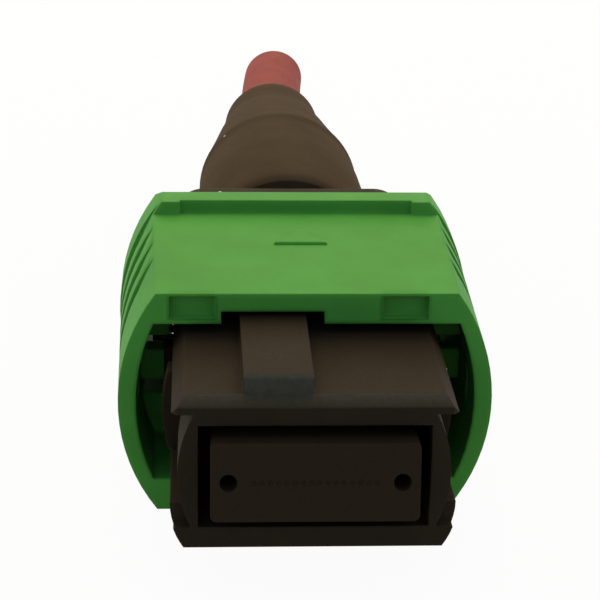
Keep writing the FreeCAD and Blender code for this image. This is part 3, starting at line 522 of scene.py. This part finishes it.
def strength_yarn(name, colour):
    """Bundled filaments that run along the cable."""
    material, tree, shader, place = start_finish(name, colour, 0.5)
    base = display(colour)
    deep = shade(base, 0.55)
    mapped = add_node(
        tree, "ShaderNodeMapping", {"Vector": place, "Scale": (1.0, 0.03, 1.0)}
    ).outputs["Vector"]
    filaments = cloud(tree, mapped, 0.05 * MM, 2.0)
    share = spread(tree, filaments, 0.35, 0.65, 1.0, 0.0)
    tree.links.new(blend_colours(tree, share, base, deep), shader.inputs["Base Color"])
    shader.inputs["Sheen Weight"].default_value = 0.3
    emboss(tree, shader, filaments, 0.01 * MM)
    return material


def fibre_coat(name, colour, glass, coat_start):
    """A coloured coating, with bare glass in front of coat_start."""
    material, tree, shader, place = start_finish(name, colour, 0.3)
    shader.inputs["Specular IOR Level"].default_value = 0.05
    along = add_node(tree, "ShaderNodeSeparateXYZ", {"Vector": place}).outputs["Y"]
    coated = calculate(tree, "GREATER_THAN", along, coat_start - COAT_STEP)
    base = display(colour)
    pale = shade(base, 1.15, 0.01)
    clouds = cloud(tree, place, 0.6 * MM)
    tint = blend_colours(tree, clouds, base, pale)
    tree.links.new(
        blend_colours(tree, coated, display(glass), tint), shader.inputs["Base Color"]
    )
    tree.links.new(spread(tree, clouds, *CLOUD, 0.25, 0.35), shader.inputs["Roughness"])
    return material


# ---- pieces ----


def give_finish(piece, material):
    piece.data.materials.clear()
    piece.data.materials.append(material)


def smooth_group():
    """A geometry group that welds the faces of a mesh and shades them as one smooth skin."""
    name = "smooth_skin"
    if name in bpy.data.node_groups:
        return bpy.data.node_groups[name]
    group = bpy.data.node_groups.new(name, "GeometryNodeTree")
    group.interface.new_socket("Geometry", in_out="INPUT", socket_type="NodeSocketGeometry")
    group.interface.new_socket("Geometry", in_out="OUTPUT", socket_type="NodeSocketGeometry")
    source = group.nodes.new("NodeGroupInput")
    merge = group.nodes.new("GeometryNodeMergeByDistance")
    merge.inputs["Distance"].default_value = WELD
    group.links.new(source.outputs[0], merge.inputs["Geometry"])
    last = merge.outputs["Geometry"]
    for attribute in ("custom_normal", "sharp_edge", "sharp_face"):
        remove = group.nodes.new("GeometryNodeRemoveAttribute")
        remove.inputs["Name"].default_value = attribute
        group.links.new(last, remove.inputs["Geometry"])
        last = remove.outputs["Geometry"]
    result = group.nodes.new("NodeGroupOutput")
    group.links.new(last, result.inputs[0])
    return group


def soften(piece, width, angle=28.0):
    """Rounds the sharp edges of a piece to width, and shades its flat faces flat."""
    skin = piece.modifiers.new("smooth_skin", "NODES")
    skin.node_group = smooth_group()
    flats = piece.modifiers.new("whole_flats", "DECIMATE")
    flats.decimate_type = "DISSOLVE"
    flats.angle_limit = math.radians(0.4)
    rounding = piece.modifiers.new("soft_edges", "BEVEL")
    rounding.width = width
    rounding.segments = 3
    rounding.limit_method = "ANGLE"
    rounding.angle_limit = math.radians(angle)
    rounding.use_clamp_overlap = True
    shading = piece.modifiers.new("even_shading", "WEIGHTED_NORMAL")
    shading.weight = 100
    shading.keep_sharp = False


def finished_piece(name, shape):
    """A piece made of the shape, which this call ends."""
    bmesh.ops.recalc_face_normals(shape, faces=shape.faces)
    mesh = bpy.data.meshes.new(name)
    shape.to_mesh(mesh)
    shape.free()
    piece = bpy.data.objects.new(name, mesh)
    bpy.context.scene.collection.objects.link(piece)
    return piece


def join_rings(shape, first, second):
    """A closed band of faces between two rings with the same number of points."""
    for k in range(len(first)):
        following = (k + 1) % len(first)
        shape.faces.new((first[k], first[following], second[following], second[k]))


def round_edges(piece, width, segments):
    """Rounds every edge of a small piece."""
    rounding = piece.modifiers.new("soft_edges", "BEVEL")
    rounding.width = width
    rounding.segments = segments


def tube(name, points, radius_at, sides):
    """A closed round tube along the points; radius_at gives the radius at each point's index."""
    shape = bmesh.new()
    rings = []
    count = len(points)
    for i, point in enumerate(points):
        ahead = points[min(i + 1, count - 1)]
        behind = points[max(i - 1, 0)]
        along = (ahead - behind).normalized()
        side = along.cross(Vector((0.0, 0.0, 1.0)))
        if side.length < 0.05:
            side = along.cross(Vector((0.0, 1.0, 0.0)))
        side.normalize()
        up = side.cross(along)
        ring = []
        for k in range(sides):
            angle = 2 * math.pi * k / sides
            offset = side * math.cos(angle) + up * math.sin(angle)
            ring.append(shape.verts.new(point + offset * radius_at(i)))
        rings.append(ring)
    for first, second in zip(rings, rings[1:]):
        join_rings(shape, first, second)
    shape.faces.new(rings[0][::-1])
    shape.faces.new(rings[-1])
    piece = finished_piece(name, shape)
    for face in piece.data.polygons:
        face.use_smooth = len(face.vertices) == 4
    return piece


def side_bend(settings, along):
    """How far the middle line of boot and cable lies to the side at this distance along."""
    run = max(0.0, along - settings.bend_start) / (CABLE_END - settings.bend_start)
    return settings.bend * run**BEND_POWER


def turned_piece(name, profile, settings):
    """A round piece about the bent middle line, from its closed half section: radius, along."""
    shape = bmesh.new()
    rings = []
    for (radius, along), (radius_after, along_after) in zip(profile, profile[1:] + profile[:1]):
        parts = max(1, math.ceil(abs(along_after - along) / RING_STEP))
        for part in range(parts):
            share = part / parts
            wide = radius + share * (radius_after - radius)
            place = along + share * (along_after - along)
            middle = side_bend(settings, place)
            rings.append(
                [
                    shape.verts.new(
                        (middle + wide * math.cos(angle), place, wide * math.sin(angle))
                    )
                    for angle in (2 * math.pi * k / ROUND_SIDES for k in range(ROUND_SIDES))
                ]
            )
    for first, second in zip(rings, rings[1:] + rings[:1]):
        join_rings(shape, first, second)
    piece = finished_piece(name, shape)
    piece.data.shade_smooth()
    piece.data.set_sharp_from_angle(angle=math.radians(32.0))
    return piece


def coil_points(low, high, wire, turns, closed):
    """The middle line of a coil that fills a box, with this many closed turns at each end."""
    centre = (low + high) / 2
    across = (high.x - low.x) / 2 - wire / 2
    radius = (high.z - low.z) / 2 - wire / 2
    half_run = max(0.0, across - radius)
    start, end = low.y + wire / 2, high.y - wire / 2
    closed_rise = closed * wire
    open_turns = turns - 2 * closed
    open_rise = end - start - 2 * closed_rise
    points = []
    for step in range(turns * COIL_STEPS + 1):
        turned = step / COIL_STEPS
        if turned < closed:
            rise = turned * wire
        elif turned < turns - closed:
            rise = closed_rise + (turned - closed) / open_turns * open_rise
        else:
            rise = closed_rise + open_rise + (turned - turns + closed) * wire
        angle = 2 * math.pi * turned
        run = half_run * max(-1.0, min(1.0, COIL_CROSSING * math.cos(angle)))
        points.append(
            Vector(
                (
                    centre.x + run + radius * math.cos(angle),
                    start + rise,
                    centre.z + radius * math.sin(angle),
                )
            )
        )
    return points


def build_spring(node, wire, turns, closed, finish):
    """A spring of round wire in place of its CAD node, hung on the plug body."""
    low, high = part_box(node)
    points = coil_points(low, high, wire, turns, closed)
    spring = tube(f"{node}_wire", points, lambda i: wire / 2, WIRE_SIDES)
    give_finish(spring, finish)
    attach(spring, "plug_body")
    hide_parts(node)
    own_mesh(spring)


class PLUG_OT_dress_sleeve(bpy.types.Operator):
    """Finish the green coupling sleeve and raise the arrow on its top"""

    bl_idname = "plug.dress_sleeve"
    bl_label = "Dress the coupling sleeve"

    def execute(self, context):
        colours = context.scene.plug_colours
        settings = context.scene.plug_arrow
        green = moulded_plastic(
            "green_plastic",
            colours.green,
            roughness=0.5,
            edge_wear_and_highlight=0.5,
            edge_radius=0.2 * MM,
            specular=0.025,
        )
        sleeve = NODES["outer_housing"]
        give_finish(sleeve, green)
        soften(sleeve, 0.07 * MM)
        for piece in (self.arrow(settings), *self.inset_beads(context.scene.plug_insets)):
            give_finish(piece, green)
            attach(piece, "coupling_sleeve")
        return {"FINISHED"}

    @staticmethod
    def arrow(settings):
        """A plain triangle that points away from the nose."""
        start = SLEEVE_LOW.y + settings.start
        shape = bmesh.new()
        root = -0.05 * MM
        slope = 0.06 * MM
        rings = []
        for height, inset in ((root, 0.0), (settings.rise, slope)):
            half = settings.wide / 2 - inset
            height += SLEEVE_TOP
            rings.append(
                [
                    shape.verts.new((-half, start + inset / 2, height)),
                    shape.verts.new((half, start + inset / 2, height)),
                    shape.verts.new((0.0, start + settings.long - inset, height)),
                ]
            )
        join_rings(shape, *rings)
        shape.faces.new(rings[0][::-1])
        shape.faces.new(rings[1])
        arrow = finished_piece("direction_arrow", shape)
        round_edges(arrow, 0.03 * MM, 2)
        return arrow

    @staticmethod
    def inset_beads(settings):
        """A fine bead round each inset in the front rim."""
        beads = []
        for side, name in ((-1, "left_inset_bead"), (1, "right_inset_bead")):
            centre = side * settings.distance / 2 - settings.offset
            middle = SLEEVE_TOP - settings.roof - settings.high / 2
            shape = bmesh.new()
            rings = []
            outer = settings.border
            front = SLEEVE_LOW.y - settings.rise
            root = SLEEVE_LOW.y + 0.04 * MM
            for grown, out in ((0.0, False), (0.0, True), (outer, True), (outer, False)):
                across = settings.wide / 2 + grown
                up = settings.high / 2 + grown
                along = front if out else root
                rings.append(
                    [
                        shape.verts.new((centre + x * across, along, middle + z * up))
                        for x, z in ((-1, -1), (1, -1), (1, 1), (-1, 1))
                    ]
                )
            for first, second in zip(rings, rings[1:] + rings[:1]):
                join_rings(shape, first, second)
            bead = finished_piece(name, shape)
            round_edges(bead, 0.025 * MM, 3)
            beads.append(bead)
        return beads


class PLUG_OT_dress_housing(bpy.types.Operator):
    """Finish the black inner housing and the spring push behind it"""

    bl_idname = "plug.dress_housing"
    bl_label = "Dress the inner housing"

    def execute(self, context):
        black = moulded_plastic(
            "black_plastic",
            context.scene.plug_colours.black,
            roughness=0.64,
            edge_wear_and_highlight=0.5,
            edge_radius=0.1 * MM,
            specular=0.045,
            dust=0.05,
            # the high front faces of the key and the nose bevel get a painted reflection
            painted_reflection_heights=(2.2 * MM, 2.55 * MM),
        )
        for node in ("inner_housing", "spring_push"):
            give_finish(NODES[node], black)
            soften(NODES[node], 0.05 * MM)
        return {"FINISHED"}


class PLUG_OT_dress_ferrule(bpy.types.Operator):
    """Finish the ferrule, the keeper behind it and the soft block that holds the fibres"""

    bl_idname = "plug.dress_ferrule"
    bl_label = "Dress the ferrule"

    def execute(self, context):
        colours = context.scene.plug_colours
        resin = polished_resin("ferrule_resin", colours.resin)
        give_finish(NODES["mt_ferrule"], resin)
        give_finish(NODES["pin_keeper"], resin)
        soften(NODES["mt_ferrule"], 0.025 * MM, 50.0)
        soften(NODES["pin_keeper"], 0.03 * MM)
        give_finish(NODES["ferrule_boot"], matt_rubber("soft_block", colours.rubber))
        soften(NODES["ferrule_boot"], 0.04 * MM)
        return {"FINISHED"}


class PLUG_OT_add_springs(bpy.types.Operator):
    """Wind the ferrule's spring and the two springs of the sleeve"""

    bl_idname = "plug.add_springs"
    bl_label = "Wind the springs"

    def execute(self, context):
        settings = context.scene.plug_springs
        steel = drawn_metal("spring_wire", SPRING_STEEL, 0.42, (False, False, False))
        build_spring(
            "main_spring",
            settings.main_wire,
            settings.main_turns,
            settings.closed_turns,
            steel,
        )
        for node in ("coupling_spring_left", "coupling_spring_right"):
            build_spring(
                node,
                settings.coupling_wire,
                settings.coupling_turns,
                settings.closed_turns,
                steel,
            )
        return {"FINISHED"}


class PLUG_OT_lay_fibres(bpy.types.Operator):
    """Lay the fibres from the ferrule's face through the plug into the cable"""

    bl_idname = "plug.lay_fibres"
    bl_label = "Lay the fibres"

    def execute(self, context):
        colours = context.scene.plug_colours
        settings = context.scene.plug_fibres
        slots = {m["slot"]: m["base_color"] for m in frame["record"]["materials"]}
        rear = max(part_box(node)[1].y for node in FIBRES)
        for i, node in enumerate(FIBRES):
            points, coated_from = self.route(settings, context.scene.plug_cable, i, rear)
            wide = (settings.glass_wide, settings.coat_wide)
            fibre = tube(
                f"{node}_strand", points, lambda k: wide[k >= coated_from] / 2, STRAND_SIDES
            )
            shown = Color(slots[SLOTS[node]]).from_scene_linear_to_srgb()
            give_finish(
                fibre,
                fibre_coat(f"{SLOTS[node]}_{node}", shown, colours.glass, settings.coat_start),
            )
            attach(fibre, "plug_body")
            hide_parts(node)
            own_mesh(fibre)
        return {"FINISHED"}

    @staticmethod
    def route(settings, cable, i, rear):
        """Points of a fibre's middle line, and the first of them where it has its coating."""
        row = (i - (len(FIBRES) - 1) / 2) * settings.pitch
        column, layer = divmod(i, settings.bundle_side)
        middle = (settings.bundle_side - 1) / 2
        across = (column - middle) * settings.bundle_pitch
        up = (layer - middle) * settings.bundle_pitch
        bare = [
            Vector((row, 0.0, 0.0)),
            Vector((row, settings.coat_start - COAT_STEP, 0.0)),
        ]
        points = [*bare, Vector((row, settings.coat_start, 0.0))]
        for step in range(FAN_STEPS + 1):
            share = step / FAN_STEPS
            swing = share * share * (3.0 - 2.0 * share)
            along = settings.fan_start + share * (settings.fan_end - settings.fan_start)
            points.append(Vector((row + swing * (across - row), along, swing * up)))
        for step in range(1, FAN_STEPS + 1):
            along = settings.fan_end + step / FAN_STEPS * (rear - settings.fan_end)
            points.append(Vector((across + side_bend(cable, along), along, up)))
        return points, len(bare)


class PLUG_OT_mould_boot(bpy.types.Operator):
    """Mould the rubber boot, which narrows behind its seam bead and follows the cable"""

    bl_idname = "plug.mould_boot"
    bl_label = "Mould the boot"

    def execute(self, context):
        settings = context.scene.plug_cable
        start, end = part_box("boot")[0].y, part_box("boot")[1].y
        seam = start + settings.seam_start
        half_seam = settings.seam_wide / 2
        half_barrel = settings.barrel_wide / 2
        half_end = settings.end_wide / 2
        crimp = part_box("crimp_ring")
        crimp_reach = crimp[1].x + FIT
        neck_reach = settings.cable_wide / 2 + 0.43 * MM
        cable_reach = settings.cable_wide / 2 + FIT
        half_mouth = settings.mouth_wide / 2
        half_bead = half_seam + settings.seam_rise
        neck_start = crimp[1].y + 0.1 * MM
        profile = [
            # the mouth
            (crimp_reach, start),
            (half_mouth, start),
            (half_mouth + 0.12 * MM, start + 0.12 * MM),
            (half_mouth + 0.2 * MM, start + 0.4 * MM),
            # the barrel
            (half_barrel - 0.02 * MM, start + 3.0 * MM),
            (half_barrel, start + 4.6 * MM),
            (half_barrel - 0.06 * MM, start + 6.6 * MM),
            # the seam bead
            (half_seam, seam - 0.3 * MM),
            (half_bead, seam - 0.1 * MM),
            (half_bead, seam + 0.2 * MM),
            # the taper
            (half_seam - 0.04 * MM, seam + 0.6 * MM),
            (half_seam - 0.34 * MM, seam + 2.6 * MM),
            (half_seam - 0.68 * MM, seam + 5.1 * MM),
            (half_end + 0.12 * MM, seam + 7.6 * MM),
            # the rounded rear end
            (half_end, end - 0.7 * MM),
            (half_end - 0.12 * MM, end - 0.25 * MM),
            (half_end - 0.36 * MM, end - 0.04 * MM),
            (half_end - 0.5 * MM, end),
            # the bore, round the cable and the crimp ring
            (cable_reach, end),
            (cable_reach, neck_start),
            (neck_reach, neck_start),
            (neck_reach, start + 5.2 * MM),
            (crimp_reach, start + 4.4 * MM),
        ]
        boot = turned_piece("rubber_boot", profile, settings)
        give_finish(boot, matt_rubber("boot_rubber", context.scene.plug_colours.rubber))
        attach(boot, "plug_body")
        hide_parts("boot")
        return {"FINISHED"}


class PLUG_OT_lay_cable(bpy.types.Operator):
    """Lay the cable's sheath and its yarn, and finish the crimp ring"""

    bl_idname = "plug.lay_cable"
    bl_label = "Lay the cable"

    def execute(self, context):
        colours = context.scene.plug_colours
        settings = context.scene.plug_cable
        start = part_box("cable_jacket")[0].y
        half = settings.cable_wide / 2
        soft = 0.05 * MM
        sheath = turned_piece(
            "cable_sheath",
            [
                (settings.cable_bore / 2, start),
                (half, start),
                (half, CABLE_END - soft),
                (half - soft, CABLE_END),
                (settings.cable_bore / 2, CABLE_END),
            ],
            settings,
        )
        give_finish(sheath, cable_sheath("sheath_plastic", colours.sheath))

        low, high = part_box("aramid_yarn")
        yarn = turned_piece(
            "strength_yarn",
            [
                (settings.yarn_bore / 2, CABLE_END),
                (settings.yarn_bore / 2, start),
                (settings.stem_wide / 2, settings.stem_end),
                (settings.stem_wide / 2, low.y),
                (high.x, low.y),
                (high.x, settings.stem_end),
                (settings.yarn_wide / 2, start - 0.02 * MM),
                (settings.yarn_wide / 2, CABLE_END),
            ],
            settings,
        )
        give_finish(yarn, strength_yarn("yarn_filaments", colours.yarn))
        for piece, node in ((sheath, "cable_jacket"), (yarn, "aramid_yarn")):
            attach(piece, "plug_body")
            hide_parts(node)

        metal = drawn_metal("crimp_metal", CRIMP_METAL, 0.38, (False, True, False))
        give_finish(NODES["crimp_ring"], metal)
        soften(NODES["crimp_ring"], 0.04 * MM)
        return {"FINISHED"}


class PLUG_OT_add_studio(bpy.types.Operator):
    """Set up the pale floor, the white background, the soft lamps and the camera"""

    bl_idname = "plug.add_studio"
    bl_label = "Set up the studio"

    def execute(self, context):
        scene = context.scene
        settings = scene.plug_studio
        scene.view_settings.view_transform = "Standard"
        self.add_world(scene, settings)
        self.add_floor()
        self.add_lamp("overhead", settings.key, KEY_SIZE, KEY_PLACE, KEY_COLOUR)
        for side, name in ((-1, "left"), (1, "right")):
            place = Vector((side * SIDE_PLACE[0], *SIDE_PLACE[1:]))
            self.add_lamp(name, settings.side, SIDE_SIZE, place, SIDE_COLOUR)
        self.add_camera(scene, settings)
        return {"FINISHED"}

    @staticmethod
    def add_world(scene, settings):
        world = bpy.data.worlds.new("studio_air")
        world.use_nodes = True
        tree = world.node_tree
        tree.nodes.clear()
        seen = seen_rays(tree)
        strength = spread(tree, seen, 0.0, 1.0, settings.sky, 1.0)
        colour = blend_colours(tree, seen, SKY_COLOUR, WHITE)
        air = add_node(tree, "ShaderNodeBackground", {"Color": colour, "Strength": strength})
        add_node(tree, "ShaderNodeOutputWorld", {"Surface": air.outputs["Background"]})
        scene.world = world

    @staticmethod
    def add_floor():
        """A wide pale sheet just under the plug, which shows nearly white and keeps its shadow."""
        level = CAD_BOX[0].z - FLOOR_GAP
        shape = bmesh.new()
        corners = [
            shape.verts.new((x * FLOOR_REACH, y * FLOOR_REACH, level))
            for x, y in ((-1, -1), (1, -1), (1, 1), (-1, 1))
        ]
        shape.faces.new(corners)
        floor = finished_piece("floor", shape)
        material = bpy.data.materials.new("pale_floor")
        material.use_nodes = True
        tree = material.node_tree
        tree.nodes.clear()
        pale = add_node(tree, "ShaderNodeBsdfDiffuse", {"Color": FLOOR_GREY})
        white = add_node(tree, "ShaderNodeEmission", {"Color": WHITE, "Strength": 1.0})
        seen = seen_rays(tree)
        share = calculate(tree, "MULTIPLY", seen, FLOOR_WHITE_SHARE)
        mixed = add_node(
            tree,
            "ShaderNodeMixShader",
            {0: share, 1: pale.outputs["BSDF"], 2: white.outputs["Emission"]},
        )
        add_node(tree, "ShaderNodeOutputMaterial", {"Surface": mixed.outputs["Shader"]})
        give_finish(floor, material)

    @staticmethod
    def add_lamp(name, watts, size, place, colour):
        """A square soft lamp that faces the plug's sleeve."""
        light = bpy.data.lights.new(name, "AREA")
        light.energy = watts
        light.size = size
        light.color = colour
        lamp = bpy.data.objects.new(name, light)
        lamp.location = place
        aim = LAMP_AIM - place
        lamp.rotation_mode = "QUATERNION"
        lamp.rotation_quaternion = aim.to_track_quat("-Z", "Y")
        bpy.context.scene.collection.objects.link(lamp)

    @staticmethod
    def add_camera(scene, settings):
        view = bpy.data.cameras.new("plug_camera")
        view.lens = settings.lens
        view.sensor_width = SENSOR_WIDE
        view.clip_start = 1.0 * MM
        view.clip_end = 10.0
        camera = bpy.data.objects.new("plug_camera", view)
        ahead = Vector(
            (
                math.sin(settings.turn) * math.cos(settings.tilt),
                math.cos(settings.turn) * math.cos(settings.tilt),
                -math.sin(settings.tilt),
            )
        )
        level = Vector((math.cos(settings.turn), -math.sin(settings.turn), 0.0))
        over = level.cross(ahead)
        right = level * math.cos(settings.roll) + over * math.sin(settings.roll)
        up = over * math.cos(settings.roll) - level * math.sin(settings.roll)
        turned = Matrix((right, up, -ahead)).transposed().to_4x4()
        camera.matrix_world = Matrix.Translation(Vector(settings.camera_place)) @ turned
        scene.collection.objects.link(camera)
        scene.camera = camera


class PLUG_PT_panel(bpy.types.Panel):
    bl_idname = "PLUG_PT_panel"
    bl_label = "Fibre plug"
    bl_space_type = "VIEW_3D"
    bl_region_type = "UI"
    bl_category = "Fibre Plug"

    def draw(self, context):
        for operator in OPERATORS:
            self.layout.operator(operator.bl_idname)
        for group in GROUPS:
            box = self.layout.box()
            settings = getattr(context.scene, group)
            for name in settings.bl_rna.properties.keys():
                if name not in ("rna_type", "name"):
                    box.prop(settings, name)


GROUPS = {
    "plug_colours": PlugColours,
    "plug_springs": PlugSprings,
    "plug_fibres": PlugFibres,
    "plug_arrow": PlugArrow,
    "plug_insets": PlugInsets,
    "plug_cable": PlugCable,
    "plug_studio": PlugStudio,
}
OPERATORS = (
    PLUG_OT_dress_sleeve,
    PLUG_OT_dress_housing,
    PLUG_OT_dress_ferrule,
    PLUG_OT_add_springs,
    PLUG_OT_lay_fibres,
    PLUG_OT_mould_boot,
    PLUG_OT_lay_cable,
    PLUG_OT_add_studio,
)


def register():
    for cls in (*GROUPS.values(), *OPERATORS, PLUG_PT_panel):
        bpy.utils.register_class(cls)
    for name, group in GROUPS.items():
        setattr(bpy.types.Scene, name, PointerProperty(type=group))


def unregister():
    for name in GROUPS:
        delattr(bpy.types.Scene, name)
    for cls in reversed((*GROUPS.values(), *OPERATORS, PLUG_PT_panel)):
        bpy.utils.unregister_class(cls)


def main():
    register()
    bpy.ops.plug.dress_sleeve()
    bpy.ops.plug.dress_housing()
    bpy.ops.plug.dress_ferrule()
    bpy.ops.plug.add_springs()
    bpy.ops.plug.lay_fibres()
    bpy.ops.plug.mould_boot()
    bpy.ops.plug.lay_cable()
    bpy.ops.plug.add_studio()


if __name__ == "__main__":
    main()
